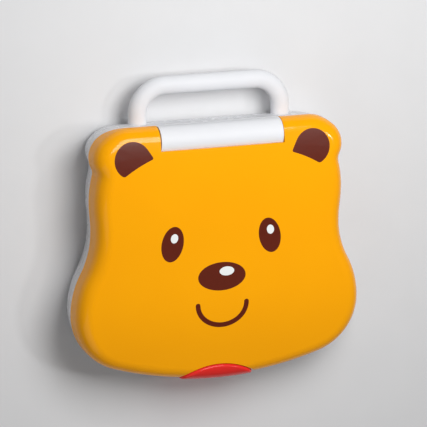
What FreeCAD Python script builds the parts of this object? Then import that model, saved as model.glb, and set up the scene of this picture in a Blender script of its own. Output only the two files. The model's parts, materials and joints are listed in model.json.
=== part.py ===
import FreeCAD, Part
import math
import os

Vector = FreeCAD.Vector

# A toddler's toy laptop whose lid is an animal's head. It lies closed and flat, in millimetres:
# X runs across, +Y points to the hinge and the carrying handle, and Z is 0 under the rubber feet.

# Head outline seen from above: half widths, each at a distance back from the rear edge (BACK)
# or ahead of the front edge (AHEAD). An ear's corner turns from a wide arc to a narrower one.
LID_LENGTH = 211.6
EAR_HALF = 105.0
EAR_ROUND = 20.0
EAR_TOP_ROUND = 34.0
EAR_TURN = 45.0
PINCH_HALF = 101.9
PINCH_BACK = 37.0
PINCH_ROUND = 8.0
TEMPLE_HALF = 104.8
TEMPLE_BACK = 60.5
WAIST_HALF = 103.3
WAIST_BACK = 86.0
CHEEK_HALF = 120.0
CHEEK_AHEAD = 58.6
CHEEK_ROUND = 47.0

# Lid shell: its hinge end is a half round, and its top is domed like a forehead and a muzzle.
LID_WALL = 2.2
HINGE_RADIUS = 12.0
LID_GAP = 0.7
SWING_EXTRA = 0.3
FOREHEAD_RISE = 2.2
FOREHEAD_BACK = 50.0
BROW_RISE = 1.2
BROW_BACK = 105.0
MUZZLE_RISE = 2.0
MUZZLE_AHEAD = 63.6
SNOUT_RISE = -1.0
SNOUT_AHEAD = 26.6
FRONT_RISE = -5.5
SIDE_DROP = 3.0
CROWN_BEYOND = 24.0

# Base: two shells that meet at a level seam, drawn in under the lid.
FOOT_HEIGHT = 1.5
BASE_HEIGHT = 28.5
SEAM_HEIGHT = 18.5
BASE_INSET = 2.5
BOTTOM_INSET = 6.0
BASE_WALL = 2.2
FLOOR = 2.4
BOTTOM_ROUND = 7.0
DECK_THICKNESS = 2.5
DECK_ROUND = 2.0
RUN_GAP = 0.3

# Hinge: a fixed barrel in a notch of the lid, and a steel pin at each end of it.
BARREL_HALF = 51.5
BARREL_WALL = 2.2
BARREL_END = 14.0
BARREL_SKIRT_FRONT = 3.0
BARREL_SKIRT_REAR = 9.0
BARREL_END_GAP = 0.7
NOTCH_GAP = 0.5
NOTCH_LIP = 6.0
PIN_RADIUS = 2.5
PIN_RUN = 0.08
PIN_IN_BARREL = 12.0
PIN_IN_LID = 6.0
PIN_BOSS = 8.0
BARREL_SCREW_INSET = 6.0
BARREL_SCREW_BACK = 3.0

# Carrying handle: a flat oval bar bent to a U, with collars inside the rear wall.
HANDLE_REACH = 35.0
HANDLE_ARM_HALF = 60.5
HANDLE_WIDTH = 15.0
HANDLE_THICKNESS = 13.0
HANDLE_CORNER = 22.0
HANDLE_INSIDE = 11.0
COLLAR_WIDER = 2.5
COLLAR_LENGTH = 3.0
COLLAR_HEIGHT = 9.0

# Latch: a red crescent that fills an arch in the lid's front edge, a little proud of it, and rocks on a pin.
ARCH_HALF = 33.5
ARCH_DEPTH = 13.4
ARCH_GAP = 0.6
TAIL_DEPTH = 9.0
RECESS_GAP = 0.8
LATCH_PROUD = 1.4
LATCH_ROUND = 2.0
LATCH_WALL = 2.4
LATCH_CORNER = 9.0
LATCH_PIN_AHEAD = 4.6
LATCH_PIN_HEIGHT = 11.0
LATCH_PIN_RADIUS = 1.5
LATCH_PIN_HALF = 13.0
LATCH_TAIL = 4.0
KNUCKLE_HALF = 6.0
KNUCKLE_RADIUS = 2.6
KNUCKLE_GAP = 0.5
KNUCKLE_SWING = 1.2
NOSE_HALF = 6.0
NOSE_REACH = 1.8
NOSE_ROOT = 1.0
NOSE_HEIGHT = 3.0
NOSE_LEVEL = 11.0
NOSE_GAP = 0.8

# Inner panel of the lid, with a pocket for the picture and its clear screen.
PANEL_RECESS = 7.0
PANEL_THICKNESS = 3.6
PANEL_FIT = 0.25
PANEL_REAR = 2.0
SCREEN_WIDTH = 118.0
SCREEN_DEPTH = 84.0
SCREEN_CORNER = 8.0
SCREEN_AHEAD = 97.6
SCREEN_FIT = 0.2
LENS_THICKNESS = 1.6
CARD_THICKNESS = 0.5
BEZEL_WIDTH = 6.0
BEZEL_HEIGHT = 1.2

# Keyboard: rows of moulded caps, each standing on a rubber dome on the circuit board.
KEY_COLUMNS = 4
KEY_ROWS = 3
KEY_WIDTH = 23.6
KEY_DEPTH = 20.0
KEY_CORNER = 5.0
KEY_CROWN_ROUND = 1.6
KEY_WALL = 1.8
KEY_STEM = 4.5
KEY_PROUD = 4.0
KEY_TRAVEL = 2.2
KEY_GAP = 0.5
KEY_PITCH_X = 34.0
KEY_PITCH_Y = 31.0
KEY_FRONT = 31.6
FLANGE_WIDER = 1.8
FLANGE_THICKNESS = 1.6
DOME_PRESSED = 2.8
DOME_FOOT = 6.5
DOME_TOP = 4.0
FIELD_MARGIN = 6.0
FIELD_CORNER = 10.0
FIELD_SINK = 0.6
BOARD_THICKNESS = 1.6
BOARD_MARGIN = 4.0
BOARD_SPOT_INSET = 4.0
BOARD_PILLAR = 3.5

# Sound, light and switch row behind the keys.
ROW_BACK = 52.0
SPEAKER_X = -62.0
SPEAKER_RADIUS = 20.0
SPEAKER_HEIGHT = 14.0
SPEAKER_FLANGE = 2.0
MAGNET_RADIUS = 12.0
MAGNET_HEIGHT = 6.0
GRILLE_HOLE = 1.6
GRILLE_PITCH = 5.2
GRILLE_RINGS = 3
LENS_RADIUS = 10.0
LENS_PROUD = 3.5
LENS_SHOULDER = 1.2
LENS_WALL = 1.5
LENS_FLANGE = 2.5
LENS_GAP = 0.2
LAMP_RADIUS = 2.5
LAMP_HEIGHT = 3.5
LAMP_DISC = 1.2
SLIDER_X = 62.0
SLIDER_TRAVEL = 12.0
KNOB_LENGTH = 13.0
KNOB_WIDTH = 11.0
KNOB_HEIGHT = 4.0
KNOB_CORNER = 2.5
RIDGE_DEPTH = 0.8
RIDGE_WIDTH = 1.2
RIDGE_PITCH = 2.6
NECK_LENGTH = 5.0
NECK_WIDTH = 4.0
NECK_CORNER = 1.2
SHOE_WIDER = 2.0
SHOE_THICKNESS = 1.6
SWITCH_LENGTH = 26.0
SWITCH_WIDTH = 9.0
SWITCH_HEIGHT = 6.0
SWITCH_GROOVE = 2.5
RIB_WIDTH = 2.0

# Battery bay for three AA cells under the floor's screwed door.
CELL_COUNT = 3
CELL_LENGTH = 49.5
CELL_RADIUS = 7.1
CELL_PITCH = 15.0
CELL_NUB_RADIUS = 2.7
CELL_NUB = 1.0
CONTACT_ROOM = 3.0
CONTACT_PLATE = 0.5
CONTACT_WIDTH = 11.0
SPRING_FOOT = 4.7
SPRING_TIP = 3.3
BUTTON_FOOT = 2.3
BUTTON_TIP = 1.6
BAY_REAR = 9.0
BAY_WALL = 1.6
BAY_HEIGHT = 13.0
DOOR_THICKNESS = 1.4
DOOR_LEDGE = 4.0
DOOR_CORNER = 4.0
DOOR_FIT = 0.2
DOOR_TAB = 9.0
DOOR_SCREW_SINK = 0.6
DOOR_CUP_WALL = 1.2
DOOR_POST_WALL = 2.4

# Self-tapping screws, their pillars, and the rubber feet.
SCREW_RADIUS = 1.4
SCREW_HEAD_RADIUS = 2.7
SCREW_HEAD_HEIGHT = 1.8
SCREW_CROSS = 0.7
SCREW_CROSS_REACH = 1.6
SCREW_CROSS_DEPTH = 1.1
SCREW_LENGTH = 9.0
SCREW_FREE = 0.2
PILLAR_RADIUS = 4.4
PILLAR_MARGIN = 16.0
PILLAR_TOP = 15.0
SCREW_SEAT = 10.0
FOOT_RADIUS = 7.0
FOOT_SEAT = 0.9
FOOT_MARGIN = 24.0

# Direction from the cheek's centre to the screw pillar and the foot at the jaw, below straight sideways.
JAW_TURN = 65.0

# How far a cut runs past the face that it opens.
OVERCUT = 1.0

# Levels and lines that follow from the sizes above.
Y_REAR = (LID_LENGTH + LATCH_PROUD - HANDLE_REACH) / 2
Y_FRONT = Y_REAR - LID_LENGTH
Y_HINGE = Y_REAR - HINGE_RADIUS
Z_BOTTOM = FOOT_HEIGHT
Z_SEAM = Z_BOTTOM + SEAM_HEIGHT
Z_DECK = Z_BOTTOM + BASE_HEIGHT
Z_CEILING = Z_DECK - DECK_THICKNESS
Z_FLOOR = Z_BOTTOM + FLOOR
Z_RIM = Z_DECK + LID_GAP
Z_HINGE = Z_RIM + HINGE_RADIUS
Z_LID = Z_HINGE + HINGE_RADIUS
Z_KEY = Z_CEILING - RUN_GAP - FLANGE_THICKNESS
DOME_HEIGHT = KEY_TRAVEL + DOME_PRESSED
Z_BOARD = Z_KEY - DOME_HEIGHT
Z_PANEL = Z_RIM + PANEL_RECESS
Z_PANEL_TOP = Z_PANEL + PANEL_THICKNESS
Z_PANEL_SEAT = Z_PANEL + SCREW_HEAD_HEIGHT
Z_PILLAR = Z_BOTTOM + PILLAR_TOP
Z_SCREW_SEAT = Z_BOTTOM + SCREW_SEAT
EAR_STEP = EAR_TOP_ROUND - EAR_ROUND
EAR_BACK = EAR_TOP_ROUND - EAR_STEP * math.sin(math.radians(EAR_TURN))
CHEEK_X = CHEEK_HALF - CHEEK_ROUND
CHIN_RADIUS = (CHEEK_X ** 2 + CHEEK_AHEAD ** 2 - CHEEK_ROUND ** 2) / (2 * (CHEEK_AHEAD - CHEEK_ROUND))
Y_LATCH_PIN = Y_FRONT + LATCH_PIN_AHEAD
Z_LATCH_PIN = Z_BOTTOM + LATCH_PIN_HEIGHT
NOTCH_HALF = BARREL_HALF + BARREL_END_GAP
NOTCH_RADIUS = HINGE_RADIUS + NOTCH_GAP
ROW_Y = Y_REAR - ROW_BACK
KEYS_Y = Y_FRONT + KEY_FRONT + KEY_PITCH_Y * (KEY_ROWS - 1) / 2
KEYS_WIDTH = KEY_PITCH_X * (KEY_COLUMNS - 1) + KEY_WIDTH
KEYS_DEPTH = KEY_PITCH_Y * (KEY_ROWS - 1) + KEY_DEPTH
BAY_LENGTH = CELL_LENGTH + 2 * CONTACT_ROOM
BAY_DEPTH = CELL_PITCH * CELL_COUNT
BAY_Y = Y_REAR - BAY_REAR - BASE_WALL - BOTTOM_INSET - BAY_WALL - BAY_DEPTH / 2
SPREAD = 2 * (CHEEK_HALF + EAR_HALF)
REACH_UP = 2 * (BASE_HEIGHT + 2 * HINGE_RADIUS)


def box(x0, x1, y0, y1, z0, z1):
    """Block between two corners."""
    return Part.makeBox(x1 - x0, y1 - y0, z1 - z0, Vector(x0, y0, z0))


def rod_x(radius, x0, x1, y, z):
    """Round bar along X."""
    return Part.makeCylinder(radius, x1 - x0, Vector(x0, y, z), Vector(1, 0, 0))


def rod_z(radius, z0, z1, x, y):
    """Round bar along Z."""
    return Part.makeCylinder(radius, z1 - z0, Vector(x, y, z0))


def plate(width, depth, corner, x, y, z0, z1):
    """Upright slab with rounded corners, centred on x, y."""
    slab = box(x - width / 2, x + width / 2, y - depth / 2, y + depth / 2, z0, z1)
    upright = [edge for edge in slab.Edges if edge.BoundBox.ZLength > (z1 - z0) / 2]
    return slab.makeFillet(corner, upright)


def joined(shapes):
    """One solid of several that touch or overlap."""
    return shapes[0].multiFuse(shapes[1:]).removeSplitter()


def both_sides(spots):
    """The given points and their mirror images in the middle plane."""
    return [(side * x, y) for x, y in spots for side in (1, -1)]


def s_bend(x0, y0, x1, y1, crease):
    """Two tangent arcs between widths x0 and x1, both ends running straight to the front.

    The hollow arc at the narrow end has the radius crease, or half of the two radii where that is 0.
    An arc is its centre, radius, first and last angle, and 1 where its centre lies inside the head.
    """
    step = abs(x1 - x0)
    both = (step ** 2 + (y1 - y0) ** 2) / (2 * step)
    turn = math.acos(1 - step / both)
    hollow = crease or both / 2
    full = both - hollow
    if x1 < x0:
        return [
            (x0 - full, y0, full, 0, -turn, 1),
            (x1 + hollow, y1, hollow, math.pi - turn, math.pi, -1),
        ]
    return [
        (x0 + hollow, y0, hollow, math.pi, math.pi + turn, -1),
        (x1 - full, y1, full, turn, 0, 1),
    ]


def head_arcs():
    """Head outline as tangent arcs, from the rear edge's right end round the front to its left end."""
    widths = [
        (EAR_HALF, Y_REAR - EAR_BACK),
        (PINCH_HALF, Y_REAR - PINCH_BACK),
        (TEMPLE_HALF, Y_REAR - TEMPLE_BACK),
        (WAIST_HALF, Y_REAR - WAIST_BACK),
        (CHEEK_HALF, Y_FRONT + CHEEK_AHEAD),
    ]
    creases = [PINCH_ROUND, PINCH_ROUND, 0, 0]
    ear_turn = math.radians(EAR_TURN)
    ear_x = EAR_HALF - EAR_ROUND
    top_x = ear_x - EAR_STEP * math.cos(ear_turn)
    right = [
        (top_x, Y_REAR - EAR_TOP_ROUND, EAR_TOP_ROUND, math.pi / 2, ear_turn, 1),
        (ear_x, Y_REAR - EAR_BACK, EAR_ROUND, ear_turn, 0, 1),
    ]
    for (x0, y0), (x1, y1), crease in zip(widths, widths[1:], creases):
        right += s_bend(x0, y0, x1, y1, crease)
    chin_turn = math.atan2(CHEEK_AHEAD - CHIN_RADIUS, CHEEK_X)
    right.append((CHEEK_X, Y_FRONT + CHEEK_AHEAD, CHEEK_ROUND, 0, chin_turn, 1))
    chin = (0, Y_FRONT + CHIN_RADIUS, CHIN_RADIUS, chin_turn, -math.pi - chin_turn, 1)
    left = [
        (-x, y, radius, math.pi - last, math.pi - first, side)
        for x, y, radius, first, last, side in right
    ]
    return right + [chin] + left[::-1]


def outline(inset, height):
    """Closed head outline at a height, moved inwards all round by inset."""
    edges = []
    for x, y, radius, first, last, side in head_arcs():
        drawn = radius - side * inset
        angles = (first, (first + last) / 2, last)
        ends = [Vector(x + drawn * math.cos(angle), y + drawn * math.sin(angle), height) for angle in angles]
        edges.append(Part.Arc(*ends).toShape())
    rear_right = edges[0].valueAt(edges[0].FirstParameter)
    rear_left = edges[-1].valueAt(edges[-1].LastParameter)
    return Part.Wire([Part.makeLine(rear_left, rear_right)] + edges)


def prism(inset, z0, z1):
    """Upright block of the head outline."""
    return Part.Face(outline(inset, z0)).extrude(Vector(0, 0, z1 - z0))


def crown(drop):
    """Everything below the lid's domed top, with the top lowered by drop."""
    stations = [
        (-CROWN_BEYOND, 0),
        (HINGE_RADIUS, 0),
        (FOREHEAD_BACK, FOREHEAD_RISE),
        (BROW_BACK, BROW_RISE),
        (LID_LENGTH - MUZZLE_AHEAD, MUZZLE_RISE),
        (LID_LENGTH - SNOUT_AHEAD, SNOUT_RISE),
        (LID_LENGTH, FRONT_RISE),
        (LID_LENGTH + CROWN_BEYOND, 2 * FRONT_RISE - SNOUT_RISE),
    ]
    grid = []
    for step in (-2, -1, 0, 1, 2):
        x = step * (CHEEK_HALF + CROWN_BEYOND) / 2
        side = SIDE_DROP * (x / CHEEK_HALF) ** 2
        grid.append([Vector(x, Y_REAR - back, Z_LID + rise - side - drop) for back, rise in stations])
    top = Part.BSplineSurface()
    top.interpolate(grid)
    return top.toShape().extrude(Vector(0, 0, -REACH_UP))


def lid_block(inset, bottom):
    """The lid's outer form drawn in by inset, down to a level, with its rounded edges."""
    block = prism(inset, bottom, Z_LID + HINGE_RADIUS).common(crown(inset))
    top_edges = [edge for edge in block.Edges if edge.BoundBox.ZMin > Z_RIM + LID_GAP]
    block = block.makeFillet(HINGE_RADIUS - inset, top_edges)
    swing = HINGE_RADIUS + SWING_EXTRA - inset
    under_rear = box(-SPREAD, SPREAD, Y_HINGE, Y_REAR + HINGE_RADIUS, -REACH_UP, Z_HINGE)
    return block.cut(under_rear.cut(rod_x(swing, -SPREAD, SPREAD, Y_HINGE, Z_HINGE)))


def arch(depth, grow):
    """Upright cylinder that cuts the latch's arch into the front edge to a depth, widened by grow."""
    edge_setback = CHIN_RADIUS - math.sqrt(CHIN_RADIUS ** 2 - ARCH_HALF ** 2)
    rise = depth - edge_setback
    radius = (ARCH_HALF ** 2 + rise ** 2) / (2 * rise)
    return rod_z(radius + grow, -REACH_UP, REACH_UP, 0, Y_FRONT + depth - radius)


def notch(grow, half):
    """Space round the hinge barrel, open to the rear, widened by grow."""
    behind = box(-half, half, Y_HINGE - NOTCH_LIP - grow, Y_REAR + HINGE_RADIUS, -REACH_UP, REACH_UP)
    return behind.fuse(rod_x(NOTCH_RADIUS + grow, -half, half, Y_HINGE, Z_HINGE))


def jaw_spot(margin):
    """Point inside the right cheek's arc, margin away from the edge, towards the jaw."""
    turn = math.radians(-JAW_TURN)
    reach = CHEEK_ROUND - margin
    return (CHEEK_X + reach * math.cos(turn), Y_FRONT + CHEEK_AHEAD + reach * math.sin(turn))


LID_SPOTS = both_sides([
    (EAR_HALF - PILLAR_MARGIN, Y_REAR - PINCH_BACK),
    (WAIST_HALF - PILLAR_MARGIN, Y_REAR - WAIST_BACK - PILLAR_MARGIN),
    jaw_spot(PILLAR_MARGIN),
])
BASE_SPOTS = both_sides([
    (EAR_HALF - PILLAR_MARGIN, Y_REAR - EAR_BACK - PILLAR_RADIUS),
    (WAIST_HALF - PILLAR_MARGIN, Y_REAR - WAIST_BACK),
    jaw_spot(PILLAR_MARGIN),
])
BOARD_WIDTH = KEYS_WIDTH + 2 * BOARD_MARGIN
BOARD_DEPTH = KEYS_DEPTH + 2 * BOARD_MARGIN
BOARD_SPOTS = [
    (side * KEY_PITCH_X * (KEY_COLUMNS / 2 - 1), KEYS_Y + end * (BOARD_DEPTH / 2 - BOARD_SPOT_INSET))
    for side in (1, -1)
    for end in (1, -1)
]
FOOT_SPOTS = both_sides([
    (EAR_HALF - FOOT_MARGIN, Y_REAR - EAR_BACK - FOOT_RADIUS * 2),
    jaw_spot(FOOT_MARGIN + FOOT_RADIUS),
])
DOOR_Y = BAY_Y - DOOR_TAB / 2
DOOR_WIDTH = BAY_LENGTH + 2 * DOOR_LEDGE
DOOR_DEPTH = BAY_DEPTH + 2 * DOOR_LEDGE + DOOR_TAB
DOOR_CUP = SCREW_HEAD_RADIUS + SCREW_FREE + DOOR_CUP_WALL
DOOR_POST = DOOR_CUP + DOOR_FIT + DOOR_POST_WALL
DOOR_SCREW = (0, BAY_Y - BAY_DEPTH / 2 - BAY_WALL - DOOR_CUP - DOOR_FIT)
Z_DOOR_SEAT = Z_BOTTOM + SCREW_HEAD_HEIGHT + DOOR_SCREW_SINK
Z_DOOR_CUP = Z_DOOR_SEAT + DOOR_THICKNESS
BARREL_SPOTS = both_sides([(BARREL_HALF - BARREL_SCREW_INSET, Y_HINGE + BARREL_SCREW_BACK)])


def screw(x, y, seat, length, up):
    """Cross-head screw whose head bears at level seat; up is 1 when its tip points up."""
    head = rod_z(SCREW_HEAD_RADIUS, -SCREW_HEAD_HEIGHT, 0, 0, 0)
    shank = rod_z(SCREW_RADIUS, -SCREW_HEAD_HEIGHT / 2, length, 0, 0)
    reach = SCREW_CROSS_REACH
    half = SCREW_CROSS / 2
    low = -SCREW_HEAD_HEIGHT - OVERCUT
    high = SCREW_CROSS_DEPTH - SCREW_HEAD_HEIGHT
    cross = box(-reach, reach, -half, half, low, high)
    cross = cross.fuse(box(-half, half, -reach, reach, low, high))
    solid = head.fuse(shank).removeSplitter().cut(cross)
    if up < 0:
        solid.rotate(Vector(0, 0, 0), Vector(1, 0, 0), 180)
    solid.translate(Vector(x, y, seat))
    return solid


def key_spots():
    """Column, row and centre of every key, from the left column and the front row."""
    spots = []
    for row in range(KEY_ROWS):
        for column in range(KEY_COLUMNS):
            x = (column - (KEY_COLUMNS - 1) / 2) * KEY_PITCH_X
            y = Y_FRONT + KEY_FRONT + row * KEY_PITCH_Y
            spots.append((column + 1, row + 1, x, y))
    return spots


def tub(drawn_in, floor, rounding):
    """Tapered block of the base's lower half with a rounded bottom edge."""
    low = outline(BOTTOM_INSET + drawn_in, floor)
    high = outline(BASE_INSET + drawn_in, Z_SEAM)
    block = Part.makeLoft([low, high], True, True)
    bottom_edges = [edge for edge in block.Edges if edge.BoundBox.ZMax < floor + rounding / 2]
    return block.makeFillet(rounding, bottom_edges)


def handle():
    """U-shaped handle bar with a collar on each arm."""
    bar_y = Y_REAR + HANDLE_REACH - HANDLE_WIDTH / 2
    start_y = Y_REAR - BASE_INSET - HANDLE_INSIDE
    turn = HANDLE_CORNER * (1 - math.sin(math.radians(45)))
    half = HANDLE_ARM_HALF
    path = Part.Wire([
        Part.makeLine(Vector(half, start_y, Z_SEAM), Vector(half, bar_y - HANDLE_CORNER, Z_SEAM)),
        Part.Arc(
            Vector(half, bar_y - HANDLE_CORNER, Z_SEAM),
            Vector(half - turn, bar_y - turn, Z_SEAM),
            Vector(half - HANDLE_CORNER, bar_y, Z_SEAM),
        ).toShape(),
        Part.makeLine(
            Vector(half - HANDLE_CORNER, bar_y, Z_SEAM),
            Vector(HANDLE_CORNER - half, bar_y, Z_SEAM),
        ),
        Part.Arc(
            Vector(HANDLE_CORNER - half, bar_y, Z_SEAM),
            Vector(turn - half, bar_y - turn, Z_SEAM),
            Vector(-half, bar_y - HANDLE_CORNER, Z_SEAM),
        ).toShape(),
        Part.makeLine(Vector(-half, bar_y - HANDLE_CORNER, Z_SEAM), Vector(-half, start_y, Z_SEAM)),
    ])
    section = Part.Ellipse(
        Vector(HANDLE_WIDTH / 2, 0, 0), Vector(0, HANDLE_THICKNESS / 2, 0), Vector(0, 0, 0)
    ).toShape()
    section.rotate(Vector(0, 0, 0), Vector(1, 0, 0), 90)
    section.translate(Vector(half, start_y, Z_SEAM))
    pieces = [path.makePipeShell([Part.Wire([section])], True, False)]
    collar_rear = Y_REAR - BASE_INSET - BASE_WALL
    collar_half = HANDLE_WIDTH / 2 + COLLAR_WIDER
    for side in (half, -half):
        pieces.append(box(
            side - collar_half, side + collar_half, collar_rear - COLLAR_LENGTH, collar_rear,
            Z_SEAM - COLLAR_HEIGHT / 2, Z_SEAM + COLLAR_HEIGHT / 2,
        ))
    return joined(pieces)


def lower_shell(carry_handle):
    """White lower half of the base: bay walls, pillars, switch ribs and the latch's knuckle."""
    solid = tub(0, Z_BOTTOM, BOTTOM_ROUND)
    hollow = solid.cut(tub(BASE_WALL, Z_FLOOR, BOTTOM_ROUND - BASE_WALL))
    added = [solid.common(arch(TAIL_DEPTH, RECESS_GAP + BASE_WALL))]
    for x, y in BASE_SPOTS:
        added.append(rod_z(PILLAR_RADIUS, Z_BOTTOM, Z_PILLAR, x, y))
    for x, y in BOARD_SPOTS:
        added.append(rod_z(BOARD_PILLAR, Z_BOTTOM + FLOOR / 2, Z_BOARD - BOARD_THICKNESS, x, y))
    bay_half = BAY_LENGTH / 2 + BAY_WALL
    bay_deep = BAY_DEPTH / 2 + BAY_WALL
    added.append(box(-bay_half, bay_half, BAY_Y - bay_deep, BAY_Y + bay_deep, Z_BOTTOM, Z_FLOOR + BAY_HEIGHT))
    added.append(rod_z(DOOR_POST, Z_BOTTOM, Z_FLOOR + BAY_HEIGHT, *DOOR_SCREW))
    for end in (1, -1):
        rib_x = SLIDER_X + end * (SWITCH_LENGTH / 2 - RIB_WIDTH)
        added.append(box(
            rib_x - RIB_WIDTH / 2, rib_x + RIB_WIDTH / 2,
            ROW_Y - SWITCH_WIDTH / 2, ROW_Y + SWITCH_WIDTH / 2,
            Z_BOTTOM + FLOOR / 2, switch_base(),
        ))
    shell = hollow.multiFuse(added)
    removed = [arch(TAIL_DEPTH, RECESS_GAP), carry_handle]
    removed.append(box(
        -BAY_LENGTH / 2, BAY_LENGTH / 2, BAY_Y - BAY_DEPTH / 2, BAY_Y + BAY_DEPTH / 2, 0, Z_FLOOR + BAY_HEIGHT
    ))
    removed.append(plate(
        DOOR_WIDTH + 2 * DOOR_FIT, DOOR_DEPTH + 2 * DOOR_FIT, DOOR_CORNER,
        0, DOOR_Y, 0, Z_BOTTOM + DOOR_THICKNESS,
    ))
    removed.append(rod_z(DOOR_CUP + DOOR_FIT, 0, Z_DOOR_CUP, *DOOR_SCREW))
    removed.append(rod_z(SCREW_RADIUS, 0, Z_DOOR_SEAT + SCREW_LENGTH, *DOOR_SCREW))
    for x, y in BASE_SPOTS:
        removed.append(rod_z(SCREW_HEAD_RADIUS + SCREW_FREE, 0, Z_SCREW_SEAT, x, y))
        removed.append(rod_z(SCREW_RADIUS + SCREW_FREE, 0, Z_PILLAR + OVERCUT, x, y))
    for x, y in BOARD_SPOTS:
        removed.append(rod_z(SCREW_RADIUS, Z_BOARD - BOARD_THICKNESS - SCREW_LENGTH, Z_BOARD, x, y))
    for x, y in FOOT_SPOTS:
        removed.append(rod_z(FOOT_RADIUS, 0, Z_BOTTOM + FOOT_SEAT, x, y))
    for drop in removed:
        shell = shell.cut(drop)
    neck = box(
        -KNUCKLE_HALF, KNUCKLE_HALF, Y_LATCH_PIN, Y_FRONT + TAIL_DEPTH + RECESS_GAP + BASE_WALL / 2,
        Z_LATCH_PIN - KNUCKLE_RADIUS, Z_LATCH_PIN + KNUCKLE_RADIUS,
    )
    knuckle = neck.fuse(rod_x(KNUCKLE_RADIUS, -KNUCKLE_HALF, KNUCKLE_HALF, Y_LATCH_PIN, Z_LATCH_PIN))
    knuckle = knuckle.cut(rod_x(LATCH_PIN_RADIUS + PIN_RUN, -SPREAD, SPREAD, Y_LATCH_PIN, Z_LATCH_PIN))
    return shell.fuse(knuckle)


def deck(carry_handle):
    """White upper half of the base, with key windows, speaker holes, lamp hole and switch slot."""
    solid = prism(BASE_INSET, Z_SEAM, Z_DECK)
    solid = solid.makeFillet(DECK_ROUND, [edge for edge in solid.Edges if edge.BoundBox.ZMin > Z_CEILING])
    hollow = solid.cut(prism(BASE_INSET + BASE_WALL, Z_SEAM, Z_CEILING))
    added = [solid.common(arch(TAIL_DEPTH, RECESS_GAP + BASE_WALL))]
    for x, y in BASE_SPOTS:
        added.append(rod_z(PILLAR_RADIUS, Z_PILLAR, Z_CEILING + DECK_THICKNESS / 2, x, y))
    shell = hollow.multiFuse(added)
    removed = [arch(TAIL_DEPTH, RECESS_GAP), carry_handle]
    removed.append(plate(
        KEYS_WIDTH + 2 * FIELD_MARGIN, KEYS_DEPTH + 2 * FIELD_MARGIN, FIELD_CORNER,
        0, KEYS_Y, Z_DECK - FIELD_SINK, Z_DECK + DECK_THICKNESS,
    ))
    for column, row, x, y in key_spots():
        removed.append(plate(
            KEY_WIDTH + 2 * KEY_GAP, KEY_DEPTH + 2 * KEY_GAP, KEY_CORNER + KEY_GAP,
            x, y, Z_CEILING - DECK_THICKNESS, Z_DECK + DECK_THICKNESS,
        ))
    for x, y in grille_spots():
        removed.append(rod_z(GRILLE_HOLE, Z_CEILING - DECK_THICKNESS, Z_DECK + DECK_THICKNESS, x, y))
    lens_hole = LENS_RADIUS + LENS_GAP
    removed.append(rod_z(lens_hole, Z_CEILING - DECK_THICKNESS, Z_DECK + DECK_THICKNESS, 0, ROW_Y))
    slot_half = (NECK_LENGTH + SLIDER_TRAVEL) / 2 + KEY_GAP
    removed.append(plate(
        2 * slot_half, NECK_WIDTH + 2 * KEY_GAP, NECK_CORNER + KEY_GAP,
        SLIDER_X, ROW_Y, Z_CEILING - DECK_THICKNESS, Z_DECK + DECK_THICKNESS,
    ))
    for x, y in BASE_SPOTS:
        removed.append(rod_z(SCREW_RADIUS, 0, Z_SCREW_SEAT + SCREW_LENGTH, x, y))
    for x, y in BARREL_SPOTS:
        removed.append(rod_z(SCREW_RADIUS + SCREW_FREE, Z_SEAM, Z_HINGE, x, y))
    for drop in removed:
        shell = shell.cut(drop)
    return shell


def grille_spots():
    """Hexagonal pattern of speaker holes, ring by ring."""
    spots = [(SPEAKER_X, ROW_Y)]
    for ring in range(1, GRILLE_RINGS + 1):
        count = 6 * ring
        for step in range(count):
            angle = 2 * math.pi * step / count
            radius = GRILLE_PITCH * ring
            spots.append((SPEAKER_X + radius * math.cos(angle), ROW_Y + radius * math.sin(angle)))
    return spots


def hinge_barrel():
    """White barrel on the deck, hollow between its two pin bosses."""
    skirt_front = Y_HINGE - BARREL_SKIRT_FRONT
    skirt_rear = Y_HINGE + BARREL_SKIRT_REAR
    outside = rod_x(HINGE_RADIUS, -BARREL_HALF, BARREL_HALF, Y_HINGE, Z_HINGE)
    skirt = box(-BARREL_HALF, BARREL_HALF, skirt_front, skirt_rear, Z_DECK, Z_HINGE)
    outside = outside.fuse(skirt).removeSplitter()
    hollow_half = BARREL_HALF - BARREL_END
    hollow = rod_x(HINGE_RADIUS - BARREL_WALL, -hollow_half, hollow_half, Y_HINGE, Z_HINGE)
    mouth_front = skirt_front + BARREL_WALL
    mouth_rear = skirt_rear - BARREL_WALL
    hollow = hollow.fuse(box(-hollow_half, hollow_half, mouth_front, mouth_rear, Z_SEAM, Z_HINGE))
    barrel = outside.cut(hollow)
    for side in (1, -1):
        near, far = sorted((side * (BARREL_HALF - PIN_IN_BARREL), side * (BARREL_HALF + OVERCUT)))
        barrel = barrel.cut(rod_x(PIN_RADIUS + PIN_RUN, near, far, Y_HINGE, Z_HINGE))
    for x, y in BARREL_SPOTS:
        barrel = barrel.cut(rod_z(SCREW_RADIUS, Z_SEAM, Z_CEILING + SCREW_LENGTH, x, y))
    return barrel


def hinge_pin(side):
    """Steel pin pressed into the lid and turning in the barrel."""
    inner_end = BARREL_HALF - PIN_IN_BARREL + BARREL_END_GAP
    near, far = sorted((side * inner_end, side * (NOTCH_HALF + PIN_IN_LID)))
    return rod_x(PIN_RADIUS, near, far, Y_HINGE, Z_HINGE)


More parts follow.
